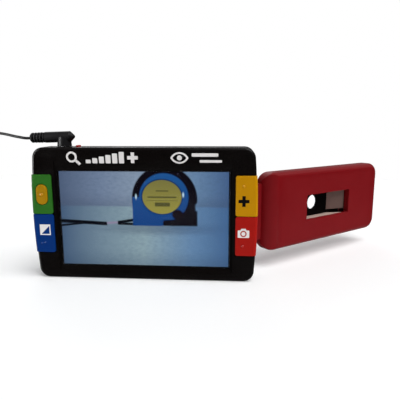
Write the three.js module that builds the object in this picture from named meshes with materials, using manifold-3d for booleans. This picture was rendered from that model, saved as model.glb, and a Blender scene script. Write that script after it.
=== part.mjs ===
// Handheld video magnifier with a fold-out handle, four edge keys and its charger.
// Millimetres, +Z up. The display unit stands on its lower edge, its screen faces -Y,
// and the origin is the centre of that lower edge.
import * as THREE from 'three';
import { mergeVertices } from 'three/addons/utils/BufferGeometryUtils.js';
import Module from 'manifold-3d';

const wasm = await Module();
wasm.setup();

// ---------------------------------------------------------------- driving dimensions
const GAP = 0.3;                       // space left between touching pieces

const BODY_HALF_WIDTH = 61.45;         // at the corners; the sides bow out from there
const SIDE_BOW = 1.2;
const BODY_HEIGHT = 74.6;
const CORNER_RADIUS = 6;
const FRONT_Y = -7;
const BACK_Y = 9;
const PARTING_Y = 1;
const WALL = 1.8;
const FRONT_WALL_Y = -4.7;             // inner face of the front wall
const FRONT_FILLET = 1.5;
const BACK_FILLET = 2.5;

const SCREEN_HALF_WIDTH = 47.52;       // active area of a 4.3 inch, 16:9 display
const SCREEN_HALF_HEIGHT = 26.93;
const SCREEN_Z = 34.7;
const SCREEN_Y = -5;
const TROUGH_HALF_WIDTH = 49.2;
const TROUGH_TOP = 69;
const TROUGH_BOTTOM = 3.4;
const TROUGH_Y = -6.1;

const PAD_INNER_X = 50.9;
const PAD_Z = [15.3, 37.25, 37.55, 59.7];
const PAD_PROUD = 0.7;
const PAD_SIDE_PROUD = 0.3;
const PAD_THICKNESS = 1.4;
const PAD_FILLET = 1.6;
const PAD_SIDE_X = 61.7;               // inner face of the pad's wrap round the side
const PAD_WRAP_Y = -1.6;
const KEY_TRAVEL = 0.5;
const PLUNGER_X = 57;

const SCREW_X = 56.5;
const SCREW_Z = [7, 68];
const SCREW_HOLE_RADIUS = 1.15;
const SCREW_SEAT_RADIUS = 2.4;
const BOSS_RADIUS = 2.6;

const CAMERA_Z = 35.1;
const CAMERA_HOLE_RADIUS = 5.2;
const CAMERA_WINDOW_RADIUS = 6;
const LED_X = -20;
const LED_Z = [29.6, 40.6];
const LED_RADIUS = 2.35;

const HINGE_X = 58;
const HINGE_Y = 13.5;
const HANDLE_OPEN = THREE.MathUtils.degToRad(39.6); // from straight out to the side
const KNUCKLE_Z = [18, 52];
const KNUCKLE_RADIUS = 4;
const LUG_RADIUS = 4.2;
const LUG_THICKNESS = 4;
const WASHER_THICKNESS = 0.8;
const PIN_RADIUS = 1.55;

// the handle's own axes: x along it from the hinge pin, y from its outer face inwards
const HANDLE = {
  start: 8.6, end: 118.2, low: 10.6, high: 58.4, radius: 7.7, outer: -8, inner: 4, fillet: 3.5,
};
const HANDLE_WALL = 2;
const HANDLE_END_ROUND = [12.6, 8.8];  // the hinge end's outer corner, along the handle and through it
const TONGUE_Y = -2;                   // outer face of the tongue between the handle and its knuckle
const HANDLE_SPLIT_Y = 1.15;
const WINDOW = { start: 43.2, end: 85.9, low: 26.3, high: 42.3 };
const WINDOW_RIM = 1.5;
const WINDOW_RIM_Y = -4.4;
const LENS_HOLE_X = HINGE_X;           // so that it lies over the camera when folded
const LENS_HOLE_RADIUS = 4.8;
const LENS_PLATE = { start: 42.2, end: 71.8, thickness: 2, low: 24.6, high: 44.4, foot: 28.2 };
const HANDLE_SCREWS = [[24, 18.5], [24, 51], [108, 18.5], [108, 51]];

const PLUG = { x: -45.7, y: 2, z: 80.05, radius: 3.05, tilt: THREE.MathUtils.degToRad(1.8) };
const SOCKET_MOUTH_RADIUS = 3.1;
const SOCKET = { low: 65.2, floor: 66.2, halfWidth: 4.5, halfDepth: 4.2, bore: 2.5 };
const POWER_KEY = { x: -37.8, y: 2, width: 2, depth: 4.6, proud: 0.8, flange: 0.8, bottom: 71.7 };

const CORD_DIAMETER = 1.6;
const COIL = { x: -158, y: 26, inner: 5.3, outer: 13.6, low: 0.9, high: 10.8 };
const ADAPTER = { x0: -188, x1: -160, y0: 56, y1: 93, height: 26, wall: 2 };
const BLADE = { length: 16, width: 6.35, thickness: 1.5, spacing: 12.7 };

// from the plug, up and back in a low arch, down to the table and into the coil
const CORD_ROUTE = [
  [-65.5, 2, 79.3], [-67, 2, 79.25], [-69.3, 2, 79.4], [-71.8, 2.3, 79.8], [-74.4, 2.8, 80.2],
  [-77.2, 3.5, 80.7], [-79.9, 4.2, 81.2], [-84.5, 6, 81.8], [-90, 8.3, 82.1], [-96, 10.6, 81.3],
  [-102, 12.6, 78.6], [-107.4, 14.3, 73.6], [-111.8, 15.7, 66.5], [-115.3, 16.8, 57.5], [-118.2, 17.6, 47],
  [-120.8, 18, 36], [-123.4, 18.1, 25], [-126.6, 17.8, 14.8], [-131.2, 17, 6.6], [-137.4, 15.6, 2],
  [-144, 13.9, 1], [-150, 12.3, 1.4],
];
// from the coil's top layer to the adapter
const TAIL_ROUTE = [
  [-171.5, 32, 9.7], [-172, 34.5, 9.6], [-172.7, 37.2, 9.4], [-173.4, 40, 9.2], [-173.9, 42.5, 9.05],
  [-174, 44.7, 9],
];
const ADAPTER_RELIEF = { x: -174, y0: 45, y1: 55.7, z: 9 };

const ROUND_SIDES = 24;
const SMALL_ROUND_SIDES = 12;          // on rods thinner than 6 mm
const CURVE_STEPS = 3;
const FILLET_STEPS = 2;
const FAR = 200;                       // larger than the object, for cutting boxes

// ---------------------------------------------------------------- colours and finishes
function finish(color, roughness, metalness = 0) {
  return new THREE.MeshStandardMaterial({ color, roughness, metalness });
}

const FINISH = {
  glossBlack: finish('#0b0b0d', 0.15),
  mattBlack: finish('#1b1b1d', 0.6),
  red: finish('#c4202f', 0.35),
  green: finish('#35b01c', 0.4),
  blue: finish('#1f86e0', 0.4),
  yellow: finish('#f2c200', 0.4),
  keyRed: finish('#d8402c', 0.4),
  orange: finish('#f0801a', 0.4),
  clear: finish('#e8f0f4', 0.05),
  screen: finish('#9fc3cc', 0.3),
  steel: finish('#b9bcc0', 0.3, 1),
  board: finish('#1c5a2e', 0.6),
  cell: finish('#8d949b', 0.5),
  frosted: finish('#8a7a74', 0.7),
  cream: finish('#e2d8c8', 0.6),
  cord: finish('#2a2a2b', 0.55),
};

// ---------------------------------------------------------------- solids
function solid(geometry) {
  geometry.deleteAttribute('normal');
  geometry.deleteAttribute('uv');
  const merged = mergeVertices(geometry, 1e-4);
  const mesh = new wasm.Mesh({
    numProp: 3,
    vertProperties: merged.attributes.position.array,
    triVerts: Uint32Array.from(merged.index.array),
  });
  return new wasm.Manifold(mesh);
}

function extrude(shape, depth, fillet) {
  return new THREE.ExtrudeGeometry(shape, {
    depth: depth - 2 * fillet,
    curveSegments: CURVE_STEPS,
    bevelEnabled: fillet > 0,
    bevelThickness: fillet,
    bevelSize: fillet,
    bevelOffset: -fillet,
    bevelSegments: FILLET_STEPS,
  });
}

// a shape drawn in X and Z, from y0 to y1
function alongY(shape, y0, y1, fillet = 0) {
  const geometry = extrude(shape, y1 - y0, fillet);
  geometry.rotateX(Math.PI / 2);
  geometry.translate(0, y1 - fillet, 0);
  return solid(geometry);
}

// a shape drawn in X and Y, from z0 to z1
function alongZ(shape, z0, z1, fillet = 0) {
  const geometry = extrude(shape, z1 - z0, fillet);
  geometry.translate(0, 0, z0 + fillet);
  return solid(geometry);
}

// a shape drawn in Y and Z, from x0 to x1
function alongX(shape, x0, x1) {
  const geometry = extrude(shape, x1 - x0, 0);
  geometry.rotateX(Math.PI / 2);
  geometry.rotateZ(Math.PI / 2);
  geometry.translate(x0, 0, 0);
  return solid(geometry);
}

function box(x0, x1, y0, y1, z0, z1) {
  const geometry = new THREE.BoxGeometry(x1 - x0, y1 - y0, z1 - z0);
  geometry.translate((x0 + x1) / 2, (y0 + y1) / 2, (z0 + z1) / 2);
  return solid(geometry);
}

function sides(radius) {
  return radius < 3 ? SMALL_ROUND_SIDES : ROUND_SIDES;
}

function rodY(radius, x, z, y0, y1, endRadius = radius) {
  const geometry = new THREE.CylinderGeometry(endRadius, radius, y1 - y0, sides(radius));
  geometry.translate(x, (y0 + y1) / 2, z);
  return solid(geometry);
}

function rodZ(radius, x, y, z0, z1, topRadius = radius) {
  const geometry = new THREE.CylinderGeometry(topRadius, radius, z1 - z0, sides(radius));
  geometry.rotateX(Math.PI / 2);
  geometry.translate(x, y, (z0 + z1) / 2);
  return solid(geometry);
}

// a body turned from [radius, height] pairs; the profile starts and ends on the axis, or closes
function turned(profile, segments) {
  const points = profile.map(([radius, height]) => new THREE.Vector2(radius, height));
  return new THREE.LatheGeometry(points, segments);
}

function polygon(points) {
  return new THREE.Shape(points.map(([x, y]) => new THREE.Vector2(x, y)));
}

function roundedRect(x0, x1, y0, y1, radius) {
  const shape = new THREE.Shape();
  shape.moveTo(x0 + radius, y0);
  shape.lineTo(x1 - radius, y0);
  shape.absarc(x1 - radius, y0 + radius, radius, -Math.PI / 2, 0);
  shape.lineTo(x1, y1 - radius);
  shape.absarc(x1 - radius, y1 - radius, radius, 0, Math.PI / 2);
  shape.lineTo(x0 + radius, y1);
  shape.absarc(x0 + radius, y1 - radius, radius, Math.PI / 2, Math.PI);
  shape.lineTo(x0, y0 + radius);
  shape.absarc(x0 + radius, y0 + radius, radius, Math.PI, 1.5 * Math.PI);
  return shape;
}

// the display unit's outline: flat top and bottom, sides bowed outwards
function bodyOutline(inset) {
  const half = BODY_HALF_WIDTH - inset;
  const radius = CORNER_RADIUS - inset;
  const low = inset;
  const high = BODY_HEIGHT - inset;
  const bulge = half + 2 * SIDE_BOW;
  const shape = new THREE.Shape();
  shape.moveTo(-half + radius, low);
  shape.lineTo(half - radius, low);
  shape.absarc(half - radius, low + radius, radius, -Math.PI / 2, 0);
  shape.quadraticCurveTo(bulge, BODY_HEIGHT / 2, half, high - radius);
  shape.absarc(half - radius, high - radius, radius, 0, Math.PI / 2);
  shape.lineTo(-half + radius, high);
  shape.absarc(-half + radius, high - radius, radius, Math.PI / 2, Math.PI);
  shape.quadraticCurveTo(-bulge, BODY_HEIGHT / 2, -half, low + radius);
  shape.absarc(-half + radius, low + radius, radius, Math.PI, 1.5 * Math.PI);
  return shape;
}

// ---------------------------------------------------------------- the scene graph
const magnifier = new THREE.Group();

function add(name, piece, material, parent = magnifier) {
  const mesh = piece.getMesh();
  const geometry = new THREE.BufferGeometry();
  geometry.setAttribute('position', new THREE.BufferAttribute(mesh.vertProperties, 3));
  geometry.setIndex(new THREE.BufferAttribute(mesh.triVerts, 1));
  geometry.computeVertexNormals();
  const node = new THREE.Mesh(geometry, material);
  node.name = name;
  parent.add(node);
}

function screwPlaces() {
  return [-SCREW_X, SCREW_X].flatMap((x) => SCREW_Z.map((z) => [x, z]));
}

// ---------------------------------------------------------------- casing
// cut through both covers' top wall: the charging socket's mouth and the power key's slot
function topOpenings() {
  const socket = rodZ(SOCKET_MOUTH_RADIUS, PLUG.x, PLUG.y, BODY_HEIGHT - 5, BODY_HEIGHT + 5);
  const halfWidth = POWER_KEY.width / 2 + GAP;
  const halfDepth = POWER_KEY.depth / 2 + GAP;
  const slot = box(
    POWER_KEY.x - halfWidth, POWER_KEY.x + halfWidth,
    POWER_KEY.y - halfDepth, POWER_KEY.y + halfDepth, BODY_HEIGHT - 5, BODY_HEIGHT + 5,
  );
  return socket.add(slot);
}

// shallow trough round the screen: it ramps up to the front face above and below it
function trough() {
  const profile = polygon([
    [FRONT_Y - 1, TROUGH_BOTTOM], [FRONT_Y, TROUGH_BOTTOM],
    [TROUGH_Y, SCREEN_Z - SCREEN_HALF_HEIGHT - 0.4], [TROUGH_Y, SCREEN_Z + SCREEN_HALF_HEIGHT + 0.4],
    [FRONT_Y, TROUGH_TOP], [FRONT_Y - 1, TROUGH_TOP],
  ]);
  return alongX(profile, -TROUGH_HALF_WIDTH, TROUGH_HALF_WIDTH);
}

// a pocket for two pads, in the front face and round the side
function padPocket(side) {
  const low = PAD_Z[0] - GAP;
  const high = PAD_Z[3] + GAP;
  const floor = FRONT_Y - PAD_PROUD + PAD_THICKNESS + KEY_TRAVEL + GAP;
  const face = roundedRect(PAD_INNER_X - GAP, FAR / 2, low, high, 1.4);
  const front = alongY(face, FRONT_Y - 5, floor);
  const wrap = box(PAD_SIDE_X - GAP, FAR / 2, FRONT_Y - 5, PAD_WRAP_Y + KEY_TRAVEL + GAP, low, high);
  const pocket = front.add(wrap);
  return side > 0 ? pocket : pocket.mirror([1, 0, 0]);
}

function padMiddles() {
  return [(PAD_Z[0] + PAD_Z[1]) / 2, (PAD_Z[2] + PAD_Z[3]) / 2];
}

function frontCover() {
  let cover = alongY(bodyOutline(0), FRONT_Y, BACK_Y, FRONT_FILLET);
  cover = cover.subtract(box(-FAR, FAR, PARTING_Y - GAP / 2, FAR, -FAR, FAR));
  cover = cover.subtract(alongY(bodyOutline(WALL), FRONT_WALL_Y, BACK_Y));
  for (const [x, z] of screwPlaces()) {
    cover = cover.add(rodY(BOSS_RADIUS, x, z, FRONT_WALL_Y - 0.5, PARTING_Y - GAP / 2));
    cover = cover.subtract(rodY(SCREW_HOLE_RADIUS, x, z, FRONT_WALL_Y + 1.2, BACK_Y));
  }
  cover = cover.subtract(trough());
  const opening = SCREEN_HALF_WIDTH + 0.4;
  const tall = SCREEN_HALF_HEIGHT + 0.4;
  cover = cover.subtract(box(-opening, opening, FRONT_Y - 2, 0, SCREEN_Z - tall, SCREEN_Z + tall));
  for (const side of [-1, 1]) {
    cover = cover.subtract(padPocket(side));
    for (const z of padMiddles()) {
      cover = cover.subtract(rodY(1.7, side * PLUNGER_X, z, FRONT_Y, 0));
    }
  }
  cover = cover.subtract(topOpenings());
  add('front_cover', cover, FINISH.glossBlack);
}

// one ear of the hinge, standing on the back cover
function lug(z0, z1) {
  const foot = box(HINGE_X - LUG_RADIUS, HINGE_X + LUG_RADIUS - 0.5, BACK_Y - 1.5, HINGE_Y, z0, z1);
  const eye = rodZ(LUG_RADIUS, HINGE_X, HINGE_Y, z0, z1);
  return foot.add(eye);
}

function backCover() {
  let cover = alongY(bodyOutline(0), FRONT_Y, BACK_Y, BACK_FILLET);
  cover = cover.subtract(box(-FAR, FAR, -FAR, PARTING_Y + GAP / 2, -FAR, FAR));
  const inside = BACK_Y - WALL;
  cover = cover.subtract(alongY(bodyOutline(WALL), FRONT_Y, inside));
  for (const [x, z] of screwPlaces()) {
    cover = cover.add(rodY(BOSS_RADIUS, x, z, PARTING_Y + GAP / 2, inside + 0.5));
    cover = cover.subtract(rodY(SCREW_HOLE_RADIUS, x, z, 0, BACK_Y + 1));
    cover = cover.subtract(rodY(SCREW_SEAT_RADIUS, x, z, inside, BACK_Y + 1));
  }
  const clearance = WASHER_THICKNESS + 2 * GAP;
  cover = cover.add(lug(KNUCKLE_Z[1] + clearance, KNUCKLE_Z[1] + clearance + LUG_THICKNESS));
  cover = cover.add(lug(KNUCKLE_Z[0] - clearance - LUG_THICKNESS, KNUCKLE_Z[0] - clearance));
  cover = cover.subtract(rodZ(PIN_RADIUS + 0.2, HINGE_X, HINGE_Y, 0, BODY_HEIGHT));
  cover = cover.subtract(rodY(CAMERA_HOLE_RADIUS, 0, CAMERA_Z, 0, BACK_Y + 1));
  cover = cover.subtract(rodY(CAMERA_WINDOW_RADIUS + GAP, 0, CAMERA_Z, BACK_Y - 1.1, BACK_Y + 1));
  for (const z of LED_Z) {
    cover = cover.subtract(rodY(LED_RADIUS + 0.35, LED_X, z, 0, BACK_Y + 1));
  }
  cover = cover.subtract(topOpenings());
  add('back_cover', cover, FINISH.mattBlack);
}

function caseScrews() {
  screwPlaces().forEach(([x, z], index) => {
    const head = rodY(2.05, x, z, BACK_Y - WALL + GAP, BACK_Y - 0.5);
    const shank = rodY(0.8, x, z, FRONT_WALL_Y + 2, BACK_Y - 1);
    add(`case_screw_${index + 1}`, head.add(shank), FINISH.steel);
  });
}

// ---------------------------------------------------------------- display and electronics
function display() {
  const half = SCREEN_HALF_WIDTH;
  const low = SCREEN_Z - SCREEN_HALF_HEIGHT;
  const high = SCREEN_Z + SCREEN_HALF_HEIGHT;
  const edge = 0.12;
  const pane = box(-half - edge, half + edge, SCREEN_Y - 0.9, SCREEN_Y - 0.3, low - edge, high + edge);
  add('display_window', pane, FINISH.clear);
  add('lcd_panel', box(-half, half, SCREEN_Y, SCREEN_Y + 1.1, low, high), FINISH.screen);
  const front = FRONT_WALL_Y + GAP;
  let frame = box(-50.4, 50.4, front, front + 2.8, low - 2.4, high + 2.4);
  frame = frame.subtract(box(-half - 0.4, half + 0.4, front - 1, SCREEN_Y + 1.4, low - 0.4, high + 0.4));
  add('backlight_frame', frame, FINISH.steel);
}

function electronics() {
  const boardFront = 0.2;
  const boardBack = 1.4;
  add('main_board', box(-52, 52, boardFront, boardBack, 5.5, 64.5), FINISH.board);
  const mounted = boardBack + GAP;
  add('main_processor', box(-8, 6, mounted, mounted + 1.2, 48, 61), FINISH.mattBlack);
  const cell = roundedRect(12, 49, 9, 62, 2);
  add('battery_pack', alongY(cell, mounted, 6.8), FINISH.cell);
  add('camera_module', box(-6, 6, mounted, 5.6, CAMERA_Z - 6, CAMERA_Z + 6), FINISH.mattBlack);
  const barrel = rodY(4, 0, CAMERA_Z, 5.6 + GAP, 7.8);
  const bowl = rodY(2.2, 0, CAMERA_Z, 7.2, 8, 3.2);
  add('camera_lens', barrel.subtract(bowl), FINISH.glossBlack);
  add('camera_window', rodY(CAMERA_WINDOW_RADIUS, 0, CAMERA_Z, BACK_Y - 0.8, BACK_Y - 0.1), FINISH.clear);
  LED_Z.forEach((z, index) => {
    const lamp = rodY(LED_RADIUS, LED_X, z, mounted, 7.6).add(rodY(LED_RADIUS, LED_X, z, 7.6, 8.8, 1.5));
    add(`light_led_${index + 1}`, lamp, FINISH.clear);
  });
}

function chargingSocket() {
  const { x, y } = PLUG;
  const { low, floor, halfWidth, halfDepth, bore } = SOCKET;
  const top = BODY_HEIGHT - WALL - GAP;
  const block = box(x - halfWidth, x + halfWidth, y - halfDepth, y + halfDepth, low, top);
  add('charging_socket', block.subtract(rodZ(bore, x, y, floor, BODY_HEIGHT)), FINISH.mattBlack);
}

// ---------------------------------------------------------------- keys
function pad(name, side, row, material) {
  const z0 = PAD_Z[2 * row];
  const z1 = PAD_Z[2 * row + 1];
  let key = alongY(bodyOutline(-PAD_SIDE_PROUD), FRONT_Y - PAD_PROUD, BACK_Y, PAD_FILLET);
  key = key.intersect(alongY(roundedRect(PAD_INNER_X, FAR / 2, z0, z1, 1.2), FRONT_Y - 5, PAD_WRAP_Y));
  key = key.subtract(box(0, PAD_SIDE_X, FRONT_Y - PAD_PROUD + PAD_THICKNESS, FAR, -FAR, FAR));
  const plungerEnd = FRONT_WALL_Y + 0.15;
  key = key.add(rodY(1.3, PLUNGER_X, (z0 + z1) / 2, FRONT_Y, plungerEnd));
  if (side < 0) {
    key = key.mirror([1, 0, 0]);
  }
  if (name === 'colour_mode_button') {
    key = key.subtract(oval(GAP, FRONT_Y, FRONT_Y - 5));
  }
  add(name, key, material);
}

// the oval set into the colour mode key
function oval(margin, y1, y0) {
  const shape = new THREE.Shape();
  shape.absellipse(-56.7, 48.5, 3.4 + margin, 5.9 + margin, 0, 2 * Math.PI);
  return alongY(shape, y0, y1);
}

function keyBoards() {
  for (const [label, side] of [['left', -1], ['right', 1]]) {
    const x0 = side > 0 ? 53.6 : -59.4;
    add(`${label}_key_board`, box(x0, x0 + 5.8, -2.3, -1.3, 13, 61), FINISH.board);
    padMiddles().forEach((z, index) => {
      const x = side * PLUNGER_X;
      const level = index > 0 ? 'upper' : 'lower';
      add(`${label}_${level}_switch`, box(x - 2.2, x + 2.2, -3.9, -2.6, z - 2.4, z + 2.4), FINISH.mattBlack);
    });
  }
}

function powerKey() {
  const { x, y, width, depth, proud, flange, bottom } = POWER_KEY;
  const outline = roundedRect(x - width / 2, x + width / 2, y - depth / 2, y + depth / 2, 0.9);
  const cap = alongZ(outline, bottom + 0.2, BODY_HEIGHT + proud);
  const wide = width / 2 + flange;
  const plate = box(x - wide, x + wide, y - depth / 2, y + depth / 2, bottom, BODY_HEIGHT - WALL - GAP);
  add('power_button', cap.add(plate), FINISH.keyRed);
  add('power_switch', box(x - 2.3, x + 2.3, y - 2.4, y + 2.4, 66, bottom - 0.6), FINISH.mattBlack);
}

// ---------------------------------------------------------------- hinge
function hinge() {
  const clearance = WASHER_THICKNESS + 2 * GAP;
  const top = KNUCKLE_Z[1] + clearance + LUG_THICKNESS;
  const bottom = KNUCKLE_Z[0] - clearance - LUG_THICKNESS;
  const pin = rodZ(PIN_RADIUS, HINGE_X, HINGE_Y, bottom + GAP, top + 0.6);
  const head = rodZ(2.8, HINGE_X, HINGE_Y, top + GAP, top + 1.1);
  add('hinge_pin', pin.add(head), FINISH.steel);
  const seats = { lower: KNUCKLE_Z[0] - GAP - WASHER_THICKNESS, upper: KNUCKLE_Z[1] + GAP };
  for (const [level, z] of Object.entries(seats)) {
    const disc = rodZ(3.6, HINGE_X, HINGE_Y, z, z + WASHER_THICKNESS);
    const hole = rodZ(PIN_RADIUS + 0.3, HINGE_X, HINGE_Y, z - 1, z + 2);
    add(`${level}_friction_washer`, disc.subtract(hole), FINISH.steel);
  }
}

// ---------------------------------------------------------------- handle
const handle = new THREE.Group();
handle.position.set(HINGE_X, HINGE_Y, 0);
handle.rotation.z = HANDLE_OPEN;
magnifier.add(handle);

function handleOutline(inset) {
  const { start, end, low, high, radius } = HANDLE;
  return roundedRect(start + inset, end - inset, low + inset, high - inset, radius - inset);
}

// everything inside the round of the hinge end's outer corner, a quarter of an ellipse
function endRound() {
  const { start, outer } = HANDLE;
  const [along, through] = HANDLE_END_ROUND;
  const shape = new THREE.Shape();
  shape.moveTo(FAR, outer);
  shape.lineTo(FAR, FAR);
  shape.lineTo(start, FAR);
  shape.lineTo(start, outer + through);
  shape.absellipse(start + along, outer + through, along, through, Math.PI, 1.5 * Math.PI);
  return alongZ(shape, 0, BODY_HEIGHT);
}

function handleShell() {
  let shell = alongY(handleOutline(0), HANDLE.outer, HANDLE.inner, HANDLE.fillet).intersect(endRound());
  shell = shell.subtract(box(-FAR, FAR, HANDLE_SPLIT_Y - GAP / 2, FAR, -FAR, FAR));
  const wall = HANDLE_WALL;
  const hollow = roundedRect(HANDLE.start + 8, HANDLE.end - wall, HANDLE.low + wall, HANDLE.high - wall, 5);
  shell = shell.subtract(alongY(hollow, HANDLE.outer + wall, HANDLE.inner));
  for (const [x, z] of HANDLE_SCREWS) {
    shell = shell.add(rodY(BOSS_RADIUS, x, z, HANDLE.outer + 1, HANDLE_SPLIT_Y - GAP / 2));
    shell = shell.subtract(rodY(1.05, x, z, HANDLE.outer + 3.5, HANDLE.inner));
  }
  const { start, end, low, high } = WINDOW;
  const rim = WINDOW_RIM;
  shell = shell.add(box(start - rim, end + rim, HANDLE.outer + 1, WINDOW_RIM_Y, low - rim, high + rim));
  shell = shell.subtract(alongY(roundedRect(start, end, low, high, 0.6), HANDLE.outer - 1, HANDLE.inner));
  // below the window the rim makes way for the floor piece
  const room = box(start - 2 * rim, end + 2 * rim, HANDLE.outer + wall, HANDLE.inner, low - 2 * rim, low);
  shell = shell.subtract(room);
  add('handle_shell', shell.add(knuckle()), FINISH.red, handle);
}

// the barrel on the hinge pin and the tongue that joins it to the handle
function knuckle() {
  const [z0, z1] = KNUCKLE_Z;
  const deep = box(0, HANDLE.start + 4.5, TONGUE_Y, HANDLE_SPLIT_Y - GAP / 2, z0, z1);
  const shallow = box(0, HANDLE.start - GAP, 0, KNUCKLE_RADIUS, z0, z1);
  const barrel = rodZ(KNUCKLE_RADIUS, 0, 0, z0, z1);
  const bore = rodZ(PIN_RADIUS + 0.15, 0, 0, z0 - 1, z1 + 1);
  return barrel.add(deep).add(shallow).subtract(bore);
}

function handleInnerCover() {
  let cover = alongY(handleOutline(0), HANDLE.outer, HANDLE.inner, HANDLE.fillet);
  cover = cover.subtract(box(-FAR, FAR, -FAR, HANDLE_SPLIT_Y + GAP / 2, -FAR, FAR));
  const { start, low, high } = LENS_PLATE;
  const opening = roundedRect(start - 0.7, WINDOW.end + 2, low - 0.7, high + 0.7, 0.5);
  cover = cover.subtract(alongY(opening, 0, HANDLE.inner + 1));
  HANDLE_SCREWS.forEach(([x, z], index) => {
    cover = cover.subtract(rodY(1.05, x, z, 0, HANDLE.inner + 1));
    cover = cover.subtract(rodY(2.2, x, z, HANDLE.inner - 1.4, HANDLE.inner + 1));
    const head = rodY(1.85, x, z, HANDLE.inner - 1.1, HANDLE.inner - 0.3);
    const shank = rodY(0.75, x, z, HANDLE.outer + 4.2, HANDLE.inner - 1);
    add(`handle_screw_${index + 1}`, head.add(shank), FINISH.steel, handle);
  });
  add('handle_inner_cover', cover, FINISH.red, handle);
}

function handleOptics() {
  const { start, end, thickness, low, high, foot } = LENS_PLATE;
  const right = WINDOW.end - GAP;
  let plate = box(start, end, 0, thickness, low, high).add(box(start, right, 0, thickness, low, foot));
  plate = plate.subtract(rodY(LENS_HOLE_RADIUS, LENS_HOLE_X, CAMERA_Z, -1, thickness + 1));
  plate = plate.subtract(rodY(LENS_HOLE_RADIUS + 0.6, LENS_HOLE_X, CAMERA_Z, -0.1, 0.5, LENS_HOLE_RADIUS));
  add('lens_plate', plate, FINISH.glossBlack, handle);
  const slant = polygon([[end + GAP, 0], [right, -4.1], [right, -2.9], [end + GAP, 1.2]]);
  add('light_diffuser', alongZ(slant, foot + GAP, WINDOW.high - GAP), FINISH.frosted, handle);
  const front = HANDLE.outer + HANDLE_WALL + GAP;
  const floor = polygon([[start, front], [81.5, front], [72, -GAP], [start, -GAP]]);
  add('window_floor', alongZ(floor, LENS_PLATE.low, WINDOW.low), FINISH.cream, handle);
}

// ---------------------------------------------------------------- charger
// the plug's moulded body lies level and slightly nose-up; its contact points down
function level(geometry) {
  geometry.rotateZ(Math.PI / 2);
  geometry.rotateY(-PLUG.tilt);
  geometry.translate(PLUG.x, PLUG.y, PLUG.z);
  return solid(geometry);
}

function chargerPlug() {
  const r = PLUG.radius;
  // heights run from the nose, at the negative end, towards the cord
  const body = level(turned([[0, -6.2], [0.7, -5.9], [r, -3.6], [r, 10.6], [0, 10.6]], ROUND_SIDES));
  const collar = rodZ(4, PLUG.x, PLUG.y, BODY_HEIGHT + GAP, PLUG.z, 3.5);
  add('dc_plug_body', body.add(collar), FINISH.mattBlack);
  const contact = rodZ(2, PLUG.x, PLUG.y, 66.8, BODY_HEIGHT);
  add('dc_plug_contact', contact, FINISH.steel);
  const profile = [[0, 10.9], [2.9, 10.9]];
  for (const rib of [12, 13.9, 15.8]) {
    profile.push([2.9, rib], [2.1, rib + 0.2], [2.1, rib + 0.8], [2.8, rib + 1]);
  }
  profile.push([2.6, 18.6], [1.8, 19.4], [0, 19.4]);
  add('plug_strain_relief', level(turned(profile, 16)), FINISH.mattBlack);
}

function tube(name, route) {
  const curve = new THREE.CatmullRomCurve3(route.map((point) => new THREE.Vector3(...point)));
  const section = new THREE.Shape();
  for (let side = 0; side < 8; side += 1) {
    const angle = (side + 0.5) * Math.PI / 4;
    const x = CORD_DIAMETER / 2 * Math.cos(angle);
    const y = CORD_DIAMETER / 2 * Math.sin(angle);
    if (side === 0) {
      section.moveTo(x, y);
    } else {
      section.lineTo(x, y);
    }
  }
  const steps = Math.ceil(curve.getLength() / (2.5 * CORD_DIAMETER));
  add(name, solid(new THREE.ExtrudeGeometry(section, { steps, extrudePath: curve })), FINISH.cord);
}

// the coil's outer shape, and the tie round it
function coil() {
  const { x, y, inner, outer, low, high } = COIL;
  const chamfer = 1.6;
  const ring = turned([
    [inner, low + chamfer], [inner + chamfer, low], [outer - chamfer, low], [outer, low + chamfer],
    [outer, high - chamfer], [outer - chamfer, high], [inner + chamfer, high], [inner, high - chamfer],
    [inner, low + chamfer],
  ], ROUND_SIDES);
  ring.rotateX(Math.PI / 2);
  ring.translate(x, y, 0);
  add('charger_cord_coil', solid(ring), FINISH.cord);
  const band = box(x + inner - 1.6, x + outer + 0.9, y - 2, y + 2, low - 0.9, high + 0.9);
  const inside = box(x + inner - 1, x + outer + GAP, y - 3, y + 3, low - GAP, high + GAP);
  add('cord_tie', band.subtract(inside), FINISH.mattBlack);
}

// a case with an open face towards -X, and the plate with the blades that closes it
function adapter() {
  const { x0, x1, y0, y1, height, wall } = ADAPTER;
  const seam = x0 + 6;
  const outer = alongZ(roundedRect(x0, x1, y0, y1, 3), 0, height, 1.5);
  const hollow = box(x0 + wall, x1 - wall, y0 + wall, y1 - wall, wall, height - wall);
  const shell = outer.subtract(hollow);
  add('adapter_case', shell.subtract(box(-FAR * 2, seam + GAP / 2, -FAR, FAR, -FAR, FAR)), FINISH.mattBlack);
  const middleY = (y0 + y1) / 2;
  const middleZ = height / 2;
  let plate = shell.subtract(box(seam - GAP / 2, FAR, -FAR, FAR, -FAR, FAR));
  [-1, 1].forEach((side, index) => {
    const y = middleY + side * BLADE.spacing / 2;
    const halfT = BLADE.thickness / 2;
    const halfW = BLADE.width / 2;
    const wide = halfW + GAP;
    const slot = box(x0 - 1, x0 + 3, y - halfT - GAP, y + halfT + GAP, middleZ - wide, middleZ + wide);
    plate = plate.subtract(slot);
    const blade = box(x0 - BLADE.length, x0 + 3.4, y - halfT, y + halfT, middleZ - halfW, middleZ + halfW);
    add(`adapter_blade_${index + 1}`, blade, FINISH.steel);
  });
  add('adapter_face', plate, FINISH.mattBlack);
  add('adapter_transformer', box(x0 + 8, x1 - 4, y0 + 6, y1 - 6, 5, height - 5), FINISH.steel);
  const relief = rodY(3.4, ADAPTER_RELIEF.x, ADAPTER_RELIEF.z, ADAPTER_RELIEF.y0, ADAPTER_RELIEF.y1);
  const taper = rodY(1.6, ADAPTER_RELIEF.x, ADAPTER_RELIEF.z, ADAPTER_RELIEF.y0, ADAPTER_RELIEF.y1, 3.2);
  add('adapter_strain_relief', relief.intersect(taper), FINISH.mattBlack);
}

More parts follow.
